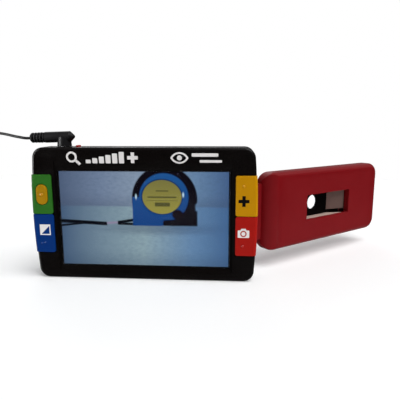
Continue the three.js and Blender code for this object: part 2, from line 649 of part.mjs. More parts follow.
frontCover();
backCover();
caseScrews();
display();
electronics();
chargingSocket();
pad('colour_mode_button', -1, 1, FINISH.green);
add('colour_mode_oval', oval(0, FRONT_Y - GAP, FRONT_Y - PAD_PROUD - 0.2), FINISH.orange);
pad('contrast_button', -1, 0, FINISH.blue);
pad('zoom_button', 1, 1, FINISH.yellow);
pad('freeze_button', 1, 0, FINISH.keyRed);
keyBoards();
powerKey();
hinge();
handleShell();
handleInnerCover();
handleOptics();
chargerPlug();
tube('charger_cord', CORD_ROUTE);
coil();
tube('charger_cord_tail', TAIL_ROUTE);
adapter();

export default magnifier;
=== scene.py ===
"""Looks of a handheld video magnifier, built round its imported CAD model.

Lengths are in millimetres inside the functions, and MM turns them into metres where a mesh is made.
+Z is up and the screen faces -Y, as in the CAD model. The handle is drawn in its own axes,
x along it from the hinge pin and y from its outer face inwards, and turned into place.
"""
import math

import bmesh
import bpy
from mathutils import Matrix, Vector


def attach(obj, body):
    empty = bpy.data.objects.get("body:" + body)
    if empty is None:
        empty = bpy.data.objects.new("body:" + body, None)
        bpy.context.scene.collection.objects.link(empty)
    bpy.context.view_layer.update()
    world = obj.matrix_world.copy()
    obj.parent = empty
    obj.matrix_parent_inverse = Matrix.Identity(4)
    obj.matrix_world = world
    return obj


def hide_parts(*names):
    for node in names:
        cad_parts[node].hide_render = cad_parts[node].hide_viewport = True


MM = 0.001
GAP = 0.3

# ---- driving dimensions
BODY_HALF_WIDTH = 61.45
SIDE_BOW = 1.2
BODY_HEIGHT = 74.6
CORNER_RADIUS = 6
FRONT_Y, BACK_Y = -7, 9
PARTING_Y = 1
WALL = 1.8
FRONT_WALL_Y = -4.7
FRONT_FILLET, BACK_FILLET = 1.5, 2.5

SCREEN_HALF_WIDTH, SCREEN_HALF_HEIGHT = 47.52, 26.93
SCREEN_Z = 34.7
OPENING_MARGIN = 0.4  # between the display and the front cover's opening
MASK_MARGIN = 0.33  # how far the black border reaches out past the display
MASK_OVERLAP = (0.33, 0.2)  # how far it covers the display's sides and ends
MASK_Y = (-5.22, -5.06)
TROUGH_HALF_WIDTH = 49.2
TROUGH_TOP, TROUGH_BOTTOM = 69, 3.4
TROUGH_Y = -6.1
RAMP_FOOT_Z = SCREEN_Z + SCREEN_HALF_HEIGHT + OPENING_MARGIN

PAD_INNER_X = 50.9
PAD_Z = (15.3, 37.25, 37.55, 59.7)  # the lower key's ends, then the upper key's
PAD_FACE_Y = FRONT_Y - 0.7
PAD_SIDE_PROUD = 0.3
PAD_THICKNESS = 1.4
PAD_FILLET = 1.6
PAD_SIDE_X = 61.7
PAD_WRAP_Y = -1.6
INLAY = (-59.9, -53.5, 42.9, 54.2, 3.1)  # x0, x1, z0, z1 and the corners' radius
INLAY_PROUD = 0.35
KEY_TRAVEL = 0.5

CASE_SCREWS = ((-56.5, 7), (-56.5, 68), (56.5, 7), (56.5, 68))
BOSS_RADIUS = 2.6
CASE_SCREW = (1.15, 2.4, 2.05)  # radii of the hole, of the head's seat and of the head
HANDLE_SCREW = (1.05, 2.2, 1.85)
CAMERA_Z = 35.1
CAMERA_HOLE, CAMERA_SEAT, CAMERA_SEAT_DEPTH = 5.2, 6.3, 1.1
LED_X = -20
LED_Z = (29.6, 40.6)
LED_HOLE = 2.7

HINGE_X, HINGE_Y = 58, 13.5
HANDLE_OPEN = math.radians(39.6)
KNUCKLE_Z = (18, 52)
KNUCKLE_RADIUS = 4
LUG_RADIUS = 4.2
LUG_THICKNESS = 4
LUG_CLEARANCE = 1.4  # room for a washer between knuckle and lug
PIN_RADIUS = 1.55

HANDLE_START, HANDLE_END = 8.6, 118.2
HANDLE_LOW, HANDLE_HIGH = 10.6, 58.4
HANDLE_RADIUS = 7.7
HANDLE_OUTER, HANDLE_INNER = -8, 4
HANDLE_FILLET = 3.5
HANDLE_WALL = 2
HOLLOW_START = HANDLE_START + 8
HANDLE_END_ROUND = (12.6, 8.8)  # the hinge end's outer corner, along the handle and through it
TONGUE_Y = -2
HANDLE_SPLIT_Y = 1.15
WINDOW = (43.2, 85.9, 26.3, 42.3)  # start, end, low, high
WINDOW_RIM = 1.5
WINDOW_RIM_Y = -4.4
LENS_PLATE = (42.2, 71.8, 24.6, 44.4)
HANDLE_SCREWS = ((24, 18.5), (24, 51), (108, 18.5), (108, 51))

PLUG_X, PLUG_Y, PLUG_Z = -45.7, 2, 80.05
PLUG_RADIUS = 3.05
PLUG_TILT = math.radians(1.8)
SOCKET_RADIUS = 3.1
POWER_X, POWER_WIDTH, POWER_DEPTH = -37.8, 2, 4.6
POWER_FOOT_Z, POWER_PROUD = 71.9, 0.8

CORD_DIAMETER = 0.0016  # metres, as are the cord's points
COIL_X, COIL_Y = -0.158, 0.026
COIL_INNER, COIL_OUTER = 0.0062, 0.0128
COIL_LAYERS, COIL_TURNS = 5, 4
COIL_BOTTOM = 0.0017
TURN_POINTS = 16
# from the plug, up and back in a low arch, and down to the table beside the coil
CORD_ROUTE = [
    (-0.0655, 0.002, 0.0793), (-0.067, 0.002, 0.07925), (-0.0693, 0.002, 0.0794),
    (-0.0718, 0.0023, 0.0798), (-0.0744, 0.0028, 0.0802), (-0.0772, 0.0035, 0.0807),
    (-0.0799, 0.0042, 0.0812), (-0.0845, 0.006, 0.0818), (-0.09, 0.0083, 0.0821),
    (-0.096, 0.0106, 0.0813), (-0.102, 0.0126, 0.0786), (-0.1074, 0.0143, 0.0736),
    (-0.1118, 0.0157, 0.0665), (-0.1153, 0.0168, 0.0575), (-0.1182, 0.0176, 0.047),
    (-0.1208, 0.018, 0.036), (-0.1234, 0.0181, 0.025), (-0.1266, 0.0178, 0.0148),
    (-0.1312, 0.017, 0.0066), (-0.1374, 0.0156, 0.002), (-0.144, 0.0139, 0.001),
    (-0.15, 0.0123, 0.0014),
]
# from the coil's top layer to the adapter
TAIL_ROUTE = [
    (-0.1715, 0.032, 0.0097), (-0.172, 0.0345, 0.0096), (-0.1727, 0.0372, 0.0094),
    (-0.1734, 0.04, 0.0092), (-0.1739, 0.0425, 0.00905), (-0.174, 0.0447, 0.009),
]

ADAPTER = (-188, -160, 56, 93)  # x0, x1, y0, y1
ADAPTER_HEIGHT = 26
ADAPTER_CORNER, ADAPTER_EDGE, ADAPTER_WALL = 3, 1.5, 2
ADAPTER_SEAM_X = -182
BLADE_WIDTH, BLADE_THICKNESS, BLADE_SPACING = 6.35, 1.5, 12.7
RELIEF_RIBS = 4  # on each of the two strain reliefs
RELIEF_X, RELIEF_Z = -174, 9
RELIEF_Y = (45, 55.7)
TIE_X, TIE_Y, TIE_HEIGHT = (-154.3, -143.5), (24, 28), 11.7
TIE_THICKNESS = 0.6

VIEW_PLACE = (0.0489, -0.2304, 0.088)  # where the photographer stands, in metres
VIEW_YAW, VIEW_PITCH, VIEW_ROLL = 4.43, -10.53, -0.18  # in degrees
VIEW_LENS, VIEW_SENSOR = 37.79, 36

FLOOR_X, FLOOR_Y, FLOOR_RADIUS = -10, 130, 420
FAR = 200  # larger than the object, for cutting blocks

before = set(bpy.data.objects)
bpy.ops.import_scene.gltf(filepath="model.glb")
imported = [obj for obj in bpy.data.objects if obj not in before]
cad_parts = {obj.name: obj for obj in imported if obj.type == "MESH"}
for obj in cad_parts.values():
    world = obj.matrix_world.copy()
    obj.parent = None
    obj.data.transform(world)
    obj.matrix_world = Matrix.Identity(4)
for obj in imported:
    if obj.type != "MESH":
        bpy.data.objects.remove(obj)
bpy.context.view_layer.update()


# ---- outlines, as lists of (u, v)
def arc(cu, cv, radius, start, end, steps=10):
    """Points of an arc, its angles in degrees."""
    angles = [math.radians(start + (end - start) * k / steps) for k in range(steps + 1)]
    return [(cu + radius * math.cos(a), cv + radius * math.sin(a)) for a in angles]


def rounded_rect(u0, u1, v0, v1, radius, inset=0, steps=10):
    """A rectangle with round corners, made smaller all round by inset."""
    u0, u1, v0, v1 = u0 + inset, u1 - inset, v0 + inset, v1 - inset
    r = max(radius - inset, 0.01)
    return (arc(u1 - r, v0 + r, r, -90, 0, steps) + arc(u1 - r, v1 - r, r, 0, 90, steps)
            + arc(u0 + r, v1 - r, r, 90, 180, steps) + arc(u0 + r, v0 + r, r, 180, 270, steps))


def circle(cu, cv, radius, steps=48):
    return arc(cu, cv, radius, 0, 360, steps)[:-1]


def cross(cu, cv, reach, half):
    """A plus sign, its arms reaching reach from the middle and half to each side of it."""
    corners = [(reach, half), (half, half), (half, reach), (-half, reach), (-half, half), (-reach, half)]
    return [(cu + u, cv + v) for u, v in corners] + [(cu - u, cv - v) for u, v in corners]


def eye_outline(cu, cv, half_width, half_height):
    """Two arcs that meet in a point at each side."""
    reach = half_width ** 2 / half_height
    radius, drop = (reach + half_height) / 2, (reach - half_height) / 2
    tip = math.degrees(math.asin(drop / radius))
    upper = arc(cu, cv - drop, radius, tip, 180 - tip, 12)
    return upper + arc(cu, cv + drop, radius, 180 + tip, 360 - tip, 12)[1:-1]


def body_outline(inset=0):
    """The display unit from the front: flat top and bottom, sides bowed outwards."""
    half, r = BODY_HALF_WIDTH - inset, CORNER_RADIUS - inset
    low, high = inset, BODY_HEIGHT - inset
    bulge = half + 2 * SIDE_BOW
    side = []
    for k in range(1, 16):
        t = k / 16
        u = (1 - t) ** 2 * half + 2 * t * (1 - t) * bulge + t * t * half
        v = (1 - t) ** 2 * (low + r) + 2 * t * (1 - t) * BODY_HEIGHT / 2 + t * t * (high - r)
        side.append((u, v))
    right = arc(half - r, low + r, r, -90, 0) + side + arc(half - r, high - r, r, 0, 90)
    return right + [(-u, v) for u, v in reversed(right)]


def handle_outline(inset=0):
    return rounded_rect(HANDLE_START, HANDLE_END, HANDLE_LOW, HANDLE_HIGH, HANDLE_RADIUS, inset, 14)


# ---- solids
def along_y(u, v, w):
    return (u, w, v)


def along_z(u, v, w):
    return (u, v, w)


def along_x(u, v, w):
    return (w, u, v)


def placed(name, data):
    """A new object with the data given, in the scene."""
    made = bpy.data.objects.new(name, data)
    bpy.context.scene.collection.objects.link(made)
    return made


def loft(name, rings):
    """A closed solid through rings of equally many points, with flat ends."""
    bm = bmesh.new()
    loops = [[bm.verts.new(Vector(point) * MM) for point in ring] for ring in rings]
    for low, high in zip(loops, loops[1:]):
        for k in range(len(low)):
            following = (k + 1) % len(low)
            bm.faces.new((low[k], low[following], high[following], high[k]))
    bm.faces.new(loops[0])
    bm.faces.new(loops[-1])
    bmesh.ops.recalc_face_normals(bm, faces=bm.faces)
    mesh = bpy.data.meshes.new(name)
    bm.to_mesh(mesh)
    bm.free()
    return placed(name, mesh)


def slab(name, outline, w0, w1, fillet0=0, fillet1=0, axis=along_y, steps=8):
    """An outline extruded from w0 to w1, its two faces' edges rounded. outline takes an inset."""
    rings = []
    for w, fillet, inward in ((w0, fillet0, 1), (w1, fillet1, -1)):
        ends = []
        for k in range(steps + 1 if fillet else 1):
            angle = math.pi / 2 * k / steps if fillet else math.pi / 2
            inset = fillet * (1 - math.sin(angle))
            level = w + inward * fillet * (1 - math.cos(angle))
            ends.append([axis(u, v, level) for u, v in outline(inset)])
        rings += ends if inward > 0 else ends[::-1]
    return loft(name, rings)


def prism(name, points, w0, w1, axis=along_y):
    return slab(name, lambda inset: points, w0, w1, axis=axis)


def block(name, x0, x1, y0, y1, z0, z1):
    return prism(name, [(x0, z0), (x1, z0), (x1, z1), (x0, z1)], y0, y1)


def rod(name, radius, cu, cv, w0, w1, axis=along_y):
    return prism(name, circle(cu, cv, radius), w0, w1, axis)


def turned(name, profile):
    """A solid turned round its own Z from (radius, height) pairs, flat at both ends."""
    return loft(name, [[(x, y, height) for x, y in circle(0, 0, radius)] for radius, height in profile])


def settle(piece):
    """Applies the piece's modifiers to its mesh."""
    graph = bpy.context.evaluated_depsgraph_get()
    mesh = bpy.data.meshes.new_from_object(piece.evaluated_get(graph))
    piece.modifiers.clear()
    piece.data = mesh


def combine(operation, piece, tools):
    """Uses up the tools on the piece, one after another."""
    for tool in tools:
        modifier = piece.modifiers.new("combine", "BOOLEAN")
        modifier.operation = operation
        modifier.solver = "EXACT"
        modifier.object = tool
        settle(piece)
        bpy.data.objects.remove(tool)


def cut(piece, *tools):
    combine("DIFFERENCE", piece, tools)


def join(piece, *tools):
    combine("UNION", piece, tools)


def overlap(piece, *tools):
    combine("INTERSECT", piece, tools)


def mirrored(piece):
    """The piece's mirror image across the middle plane, X = 0."""
    piece.data.transform(Matrix.Scale(-1, 4, (1, 0, 0)))
    piece.data.flip_normals()
    return piece


def bevel(piece, width, segments, angle):
    """Rounds the edges that turn by more than the angle, in degrees."""
    modifier = piece.modifiers.new("edges", "BEVEL")
    modifier.width = width * MM
    modifier.segments = segments
    modifier.limit_method = "ANGLE"
    modifier.angle_limit = math.radians(angle)


def soften(piece, width, segments=2, angle=32):
    """Rounds the piece's sharp edges by width, and shades it smooth."""
    if width:
        bevel(piece, width, segments, angle)
        settle(piece)
    piece.data.shade_smooth()
    piece.data.set_sharp_from_angle(angle=math.radians(50))
    normals = piece.modifiers.new("normals", "WEIGHTED_NORMAL")
    normals.keep_sharp = True


def moved(piece, matrix):
    piece.data.transform(matrix)
    return piece


def shift(x, y, z):
    return Matrix.Translation(Vector((x, y, z)) * MM)


HANDLE_MATRIX = shift(HINGE_X, HINGE_Y, 0) @ Matrix.Rotation(HANDLE_OPEN, 4, "Z")


def coat(piece, material):
    piece.data.materials.clear()
    piece.data.materials.append(material)


def dress(piece, material, body, slot, *nodes):
    """Gives a finished piece its material and its body, and hides the CAD nodes that it stands for. The slot
    is not used.
    """
    if body == "handle":  # it was drawn in the handle's own axes
        moved(piece, HANDLE_MATRIX)
    coat(piece, material)
    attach(piece, body)
    if nodes:
        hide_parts(*nodes)
    return piece


# ---- materials
def linear(red, green, blue):
    """A colour given as it looks on a display, 0 to 255, as the linear colour that shaders use."""
    return tuple(((c / 255 + 0.055) / 1.055) ** 2.4 if c > 10 else c / 255 / 12.92
                 for c in (red, green, blue)) + (1,)


def fill(tree, made, inputs):
    """Sets a node's sockets, by name or number, to values or to other nodes' outputs."""
    for name, value in inputs.items():
        if isinstance(value, bpy.types.NodeSocket):
            tree.links.new(value, made.inputs[name])
        else:
            made.inputs[name].default_value = value


def shaded(color, factor, lift=0.0):
    """A linear colour, made darker or paler."""
    return tuple(min(1, c * factor + lift) for c in color[:3]) + (1,)


def node(tree, kind, inputs=None, **settings):
    """Adds a shader node with its properties set and its sockets filled."""
    made = tree.nodes.new("ShaderNode" + kind)
    for name, value in settings.items():
        setattr(made, name, value)
    fill(tree, made, inputs or {})
    return made


def maths(tree, operation, first, second=0.0, clamp=False):
    return node(tree, "Math", {0: first, 1: second}, operation=operation, use_clamp=clamp).outputs[0]


def product(tree, first, second):
    return maths(tree, "MULTIPLY", first, second)


def spread(tree, value, low, high, from_low=0.0, from_high=1.0, smooth=False):
    """Maps a value's range on to low to high."""
    kind = "SMOOTHSTEP" if smooth else "LINEAR"
    inputs = {0: value, 1: from_low, 2: from_high, 3: low, 4: high}
    return node(tree, "MapRange", inputs, interpolation_type=kind).outputs[0]


def mixed(tree, factor, first, second):
    """The first colour where the factor is 0 and the second where it is 1."""
    return node(tree, "Mix", {0: factor, 6: first, 7: second}, data_type="RGBA").outputs[2]


def stretched(tree, place, scale, rotation=(0, 0, 0)):
    return node(tree, "Mapping", {"Vector": place, "Rotation": rotation, "Scale": scale}).outputs[0]


def bumped(tree, height, distance, strength):
    return node(tree, "Bump", {"Height": height, "Distance": distance, "Strength": strength}).outputs[0]


def new_material(name):
    """A material's node tree with one Principled shader, and the object's own coordinates."""
    made = bpy.data.materials.new(name)
    made.use_nodes = True
    tree = made.node_tree
    shader = tree.nodes["Principled BSDF"]
    place = node(tree, "TexCoord").outputs["Object"]
    return made, tree, shader, place


def noise(tree, place, scale, detail=3.0, roughness=0.55):
    inputs = {"Vector": place, "Scale": scale, "Detail": detail, "Roughness": roughness}
    return node(tree, "TexNoise", inputs).outputs["Fac"]


def moulded(name, color, roughness, grain=2600, depth=0.00002, mottle=0.08, wear_and_sheen=0.25, specular=0.1):
    """Moulded plastic: a fine grain, slightly uneven colour and gloss, and convex edges painted paler in
    patches, partly as rubbed wear and partly as a painted highlight.
    """
    made, tree, shader, place = new_material(name)
    color = linear(*color)
    broad = noise(tree, place, 60)
    fine = noise(tree, place, grain, 4.0)
    patchy = noise(tree, place, 140)
    uneven = mixed(tree, broad, shaded(color, 1 - mottle), shaded(color, 1 + mottle))
    # convex edges painted paler in patches: partly rubbed wear, partly a painted highlight along the edges
    corner = node(tree, "NewGeometry").outputs["Pointiness"]
    sheen_and_wear_edges = product(tree, spread(tree, corner, 0, wear_and_sheen, 0.52, 0.6), broad)
    fill(tree, shader, {"Base Color": mixed(tree, sheen_and_wear_edges, uneven, shaded(color, 1.5, 0.03)),
                        "Roughness": spread(tree, patchy, roughness * 0.85, roughness * 1.18),
                        "Normal": bumped(tree, fine, depth, 0.6),
                        "Specular IOR Level": specular})
    return made


def gloss_black():
    """Polished black moulding with faint smears and hair scratches."""
    made, tree, shader, place = new_material("gloss_black_plastic")
    smear = noise(tree, stretched(tree, place, (1, 1, 2.5)), 55, 5.0, 0.65)
    scratches = noise(tree, stretched(tree, place, (1, 1, 30), (0, 0.5, 0)), 260, 2.0)
    hairs = spread(tree, scratches, 0, 0.09, 0.66, 0.72)
    dull = spread(tree, smear, 0.14, 0.3, 0.35, 0.7)
    orange_peel = noise(tree, place, 420, 1.0)
    fill(tree, shader, {"Base Color": mixed(tree, smear, linear(10, 8, 8), linear(18, 14, 13)),
                        "Roughness": maths(tree, "ADD", dull, hairs),
                        "Normal": bumped(tree, orange_peel, 0.000015, 0.25),
                        "Specular IOR Level": 0.15})
    return made


def metal(name, color, roughness, stretch=(1, 1, 1), grain=900):
    """Brushed or turned metal: streaks in the roughness and a little in the bump."""
    made, tree, shader, place = new_material(name)
    color = linear(*color)
    streaks = noise(tree, stretched(tree, place, stretch), grain, 4.0, 0.7)
    fill(tree, shader, {"Base Color": mixed(tree, streaks, color, shaded(color, 0.8)),
                        "Roughness": spread(tree, streaks, roughness * 0.7, roughness * 1.35),
                        "Normal": bumped(tree, streaks, 0.00001, 0.3),
                        "Metallic": 1.0})
    return made


def clear(name, tint, roughness=0.03, ior=1.45):
    """Polished clear plastic or glass, with a trace of dust in its gloss."""
    made, tree, shader, place = new_material(name)
    dust = noise(tree, place, 700, 2.0)
    fill(tree, shader, {"Base Color": tint, "Transmission Weight": 1.0, "IOR": ior,
                        "Roughness": spread(tree, dust, roughness, roughness * 2.5, 0.4, 0.75)})
    return made


def circuit_board():
    """Green solder mask with paler copper tracks under it."""
    made, tree, shader, place = new_material("solder_mask")
    tracks = node(tree, "TexBrick", {"Vector": place, "Scale": 160, "Mortar Size": 0.05,
                                     "Color1": (0, 0, 0, 1), "Color2": (0.15, 0.15, 0.15, 1),
                                     "Mortar": (1, 1, 1, 1)}).outputs["Color"]
    fill(tree, shader, {"Base Color": mixed(tree, tracks, linear(18, 74, 38), linear(52, 128, 70)),
                        "Roughness": 0.35, "Normal": bumped(tree, tracks, 0.00003, 0.5)})
    return made


def key_plastic(name, color, roughness=0.4, specular=0.08):
    return moulded(f"key_{name}_plastic", color, roughness, 3000, 0.00001, wear_and_sheen=0.1, specular=specular)


def bump_plastic(name, color):
    """For the tactile bumps, which are glossier than the keys that they stand on."""
    return moulded(f"bump_{name}_plastic", color, 0.22, wear_and_sheen=0, specular=0.5)


# the picture on the display: a tape measure on a table. Its lengths run from the screen's centre.
SCREEN_UNIT = 1000  # the shader works in millimetres
WALL_TONES = ((0, (77, 92, 119)), (0.25, (110, 127, 153)), (0.46, (131, 148, 169)), (0.8, (102, 132, 165)),
              (1, (66, 93, 134)))
TABLE_TONES = ((0, (66, 89, 119)), (0.25, (112, 135, 151)), (0.5, (137, 161, 170)), (0.78, (98, 133, 170)),
               (1, (62, 97, 141)))
CASE_TONES = ((0, (20, 62, 124)), (0.5, (25, 70, 132)), (1, (30, 82, 142)))
LABEL_TONES = ((0, (146, 140, 62)), (1, (116, 112, 62)))
HORIZON_Z = 7.2
LABEL_X, LABEL_Z = 10.4, 12.7


def tones(tree, factor, stops):
    """A colour ramp through display colours, each with its position from 0 to 1."""
    ramp = node(tree, "ValToRGB", {0: factor})
    elements = ramp.color_ramp.elements
    while len(elements) < len(stops):
        elements.new(0.5)
    for element, (position, color) in zip(elements, stops):
        element.position = position
        element.color = linear(*color)
    return ramp.outputs[0]


def lit_screen():
    """The picture, laid layer on layer from the wall and the table up to the tape measure's glints."""
    made, tree, shader, place = new_material("lit_screen")
    parts = node(tree, "SeparateXYZ", {0: place})
    x = product(tree, parts.outputs[0], SCREEN_UNIT)
    z = maths(tree, "SUBTRACT", product(tree, parts.outputs[2], SCREEN_UNIT), SCREEN_Z)

    def oval(cx, cz, rx, rz, soft):
        """1 inside an ellipse and 0 outside, with an edge that is soft millimetres wide."""
        across = maths(tree, "DIVIDE", maths(tree, "SUBTRACT", x, cx), rx)
        up = maths(tree, "DIVIDE", maths(tree, "SUBTRACT", z, cz), rz)
        squares = maths(tree, "ADD", product(tree, across, across), product(tree, up, up))
        reach = soft / min(rx, rz)
        return spread(tree, maths(tree, "SQRT", squares), 1, 0, 1 - reach, 1 + reach, smooth=True)

    def bar(x0, x1, z0, z1, soft, slope=0.0):
        """The same for an upright rectangle, its top and bottom climbing by slope."""
        level = maths(tree, "SUBTRACT", z, product(tree, maths(tree, "SUBTRACT", x, x0), slope))
        inside = 1.0
        for value, edge, past in ((x, x0, 1), (x, x1, 0), (level, z0, 1), (level, z1, 0)):
            side = spread(tree, value, 1 - past, past, edge - soft, edge + soft, smooth=True)
            inside = product(tree, inside, side)
        return inside

    def either(*masks):
        both = masks[0]
        for mask in masks[1:]:
            both = maths(tree, "MAXIMUM", both, mask)
        return both

    width = spread(tree, x, 0, 1, -SCREEN_HALF_WIDTH, SCREEN_HALF_WIDTH)
    dusk = spread(tree, z, 0.3, 0, HORIZON_Z, HORIZON_Z + 9, smooth=True)
    wall = mixed(tree, dusk, tones(tree, width, WALL_TONES), linear(45, 58, 84))
    near = spread(tree, z, 0.35, 0, -SCREEN_HALF_HEIGHT, -SCREEN_HALF_HEIGHT + 11, smooth=True)
    table = mixed(tree, near, tones(tree, width, TABLE_TONES), linear(50, 70, 95))
    horizon = spread(tree, z, 1, 0, HORIZON_Z - 0.6, HORIZON_Z + 0.6, smooth=True)
    paper = noise(tree, stretched(tree, place, (1, 1, 1.8)), 420, 2.5, 0.6)
    shade = oval(9, -5.2, 27, 3.2, 2.4)

    strap = either(bar(-48, -21, -2.5, -0.4, 0.35, -0.05), bar(-48, -34, -4.8, -3.6, 0.3, 0.12),
                   bar(-15, -4, -2.9, -1.2, 0.35, 0.17), bar(-15, -4, -3.3, -1.9, 0.3, -0.02))
    ring = bar(-21, -15, -3, -1.8, 0.3, 0.07)
    round_part = product(tree, oval(11.8, 11.5, 18.2, 18.5, 0.5), bar(-9, 32, -3.4, 40, 0.4))
    notch = product(tree, bar(28.9, 32, 6.2, 9, 0.7), 0.9)
    rubber = either(maths(tree, "SUBTRACT", round_part, notch, True), bar(15, 30, -3.6, 5.2, 0.6))
    case = either(oval(11.4, 12.4, 13.7, 13.5, 0.5), bar(-6.2, 10.8, -3.7, 12.6, 0.4))
    mouth = bar(11.2, 29.4, -3.6, -0.4, 0.5, 0.06)
    stripes = either(bar(2.4, 18.4, 12.2, 13, 0.25), bar(6.4, 14.8, 7.4, 9.6, 0.3),
                     bar(7, 14, 15.8, 16.4, 0.25), bar(1.6, 19.2, 10.6, 10.8, 0.12))
    lock = oval(19, 2.9, 3.1, 2.7, 0.5)
    glints = either(oval(-4.1, 12.8, 0.5, 1.3, 0.35), oval(22.2, 14, 0.5, 1.3, 0.35))

    black = linear(13, 10, 17)
    layers = [
        (spread(tree, paper, 0, 0.26, 0.42, 0.7), linear(66, 88, 112)),
        (product(tree, shade, 0.45), linear(52, 66, 92)),
        (strap, linear(4, 6, 14)),
        (ring, linear(136, 128, 154)),
        (rubber, black),
        (case, tones(tree, spread(tree, z, 0, 1, -4, 27), CASE_TONES)),
        (mouth, black),
        (oval(LABEL_X, LABEL_Z, 11.5, 10.1, 0.35), linear(14, 46, 86)),
        (oval(LABEL_X, LABEL_Z, 10.9, 9.5, 0.3), tones(tree, spread(tree, z, 0, 1, 3, 22), LABEL_TONES)),
        (product(tree, stripes, 0.8), linear(52, 54, 38)),
        (lock, linear(20, 12, 18)),
        (glints, linear(176, 206, 222)),
    ]
    picture = mixed(tree, horizon, wall, table)
    for mask, color in layers:
        picture = mixed(tree, mask, picture, color)

    fill(tree, shader, {"Emission Color": picture, "Emission Strength": 1.0,
                        "Base Color": (0.001, 0.001, 0.002, 1), "Roughness": 0.4,
                        "Specular IOR Level": 0.01})
    return made


BLACK_GLOSS = gloss_black()
DEEP_BLACK = moulded("deep_black_plastic", (8, 6, 6), 0.5, 2200, wear_and_sheen=0, specular=0.03)
BLACK_MATT = moulded("matt_black_plastic", (24, 24, 25), 0.55, 2200, 0.00003)
CHARGER_BLACK = moulded("charger_black_plastic", (18, 17, 18), 0.36, 1800, 0.000025, wear_and_sheen=0.35,
                        specular=0.22)
CORD_BLACK = moulded("cord_jacket", (36, 36, 37), 0.45, 3000, 0.00001, wear_and_sheen=0, specular=0.2)
HANDLE_RED = moulded("handle_red_plastic", (124, 8, 16), 0.34, 3200, 0.000012, mottle=0.05, wear_and_sheen=0.12,
                     specular=0.16)
PAD_GREEN = key_plastic("green", (45, 111, 32))
PAD_BLUE = key_plastic("blue", (0, 50, 122), specular=0.05)
PAD_YELLOW = key_plastic("yellow", (198, 139, 0))
PAD_RED = key_plastic("red", (170, 22, 14))
PAD_ORANGE = key_plastic("orange", (174, 128, 0), 0.38)
PRINT_WHITE = moulded("white_print", (240, 236, 234), 0.6, 1800, wear_and_sheen=0)
PRINT_BLACK = moulded("black_print", (14, 12, 11), 0.6, 1800, wear_and_sheen=0, specular=0.05)
CREAM = moulded("cream_plastic", (196, 172, 160), 0.55, 1500, 0.00003)
FROSTED = moulded("frosted_plastic", (110, 88, 82), 0.65, 1200, 0.00004, specular=0.05)
CELL_WRAP = moulded("battery_wrap", (120, 126, 134), 0.35, 400, 0.00008)
STEEL = metal("bright_steel", (196, 197, 200), 0.28, (1, 1, 12))
DARK_STEEL = metal("blackened_steel", (96, 96, 98), 0.4, grain=1500)
LENS_GLASS = clear("lens_glass", (0.95, 0.97, 1, 1))
WINDOW_CLEAR = clear("display_window_clear", (1, 1, 1, 1), 0.02, 1.13)
LED_CLEAR = clear("led_resin", (1, 0.97, 0.88, 1), 0.12)
BUMP_ORANGE = bump_plastic("orange", (200, 140, 10))
BUMP_BLUE = bump_plastic("blue", (10, 60, 135))
BUMP_YELLOW = bump_plastic("yellow", (208, 148, 10))
BUMP_RED = bump_plastic("red", (184, 30, 24))
BOARD_GREEN = circuit_board()
SCREEN_LIT = lit_screen()


# ---- camera, light and floor
def camera():
    """The photographer's place, a little above the screen and to the right of its middle."""
    data = bpy.data.cameras.new("camera")
    data.sensor_width = VIEW_SENSOR
    data.lens = VIEW_LENS
    data.clip_start = 0.01
    data.clip_end = 20
    made = placed("camera", data)
    matrix = Matrix.Translation(VIEW_PLACE)
    for angle, axis in ((VIEW_YAW, "Z"), (90 + VIEW_PITCH, "X"), (VIEW_ROLL, "Z")):
        matrix = matrix @ Matrix.Rotation(math.radians(angle), 4, axis)
    made.matrix_world = matrix
    bpy.context.scene.camera = made


def light(name, kind, direction, power):
    """A light that shines from a direction, as its object and its data."""
    data = bpy.data.lights.new(name, kind)
    data.energy = power
    made = placed(name, data)
    made.rotation_euler = Vector(direction).to_track_quat("Z", "Y").to_euler()
    return made, data


def panel_light(name, place, target, width, height, power):
    """A panel that shows only as a reflection, to draw out the edges of glossy parts."""
    made, data = light(name, "AREA", Vector(place) - Vector(target), power)
    data.shape = "RECTANGLE"
    data.size, data.size_y = width, height
    made.location = place
    made.visible_diffuse = False


def sun_light(name, direction, disc, power):
    """A distant light, its disc so many degrees across."""
    _, data = light(name, "SUN", direction, power)
    data.angle = math.radians(disc)


def room():
    """A dim room that glossy parts mirror, paler to the right and above. The camera sees plain white."""
    world = bpy.data.worlds.new("room")
    bpy.context.scene.world = world
    world.use_nodes = True
    tree = world.node_tree
    direction = node(tree, "SeparateXYZ", {0: node(tree, "TexCoord").outputs["Generated"]})

    def ramp(axis, low, high, start, end):
        return spread(tree, direction.outputs[axis], low, high, start, end, smooth=True)

    glow = maths(tree, "ADD", ramp(0, 0.1, 0.37, -0.6, 0.9), ramp(2, 0, 0.19, 0.1, 0.9))
    level = maths(tree, "ADD", ramp(2, 0.12, 1, 0.05, 0.22), ramp(2, 0.95, 0, -0.4, -0.2))
    # a strip low on the left, which only the glossy edges that face it show
    strip = product(tree, ramp(0, 4, 0, -0.8, -0.62), ramp(1, 1, 0, -0.2, -0.02))
    strip = product(tree, strip, ramp(2, 1, 0, -0.08, 0.06))
    walls = tree.nodes["Background"]
    strength = maths(tree, "ADD", product(tree, glow, level), strip)
    fill(tree, walls, {"Color": (0.96, 0.98, 1, 1), "Strength": strength})
    backdrop = node(tree, "Background", {"Color": (1, 1, 1, 1), "Strength": 1.0})
    seen = node(tree, "LightPath").outputs["Is Camera Ray"]
    both = node(tree, "MixShader", {0: seen, 1: walls.outputs[0], 2: backdrop.outputs[0]})
    fill(tree, tree.nodes["World Output"], {"Surface": both.outputs[0]})


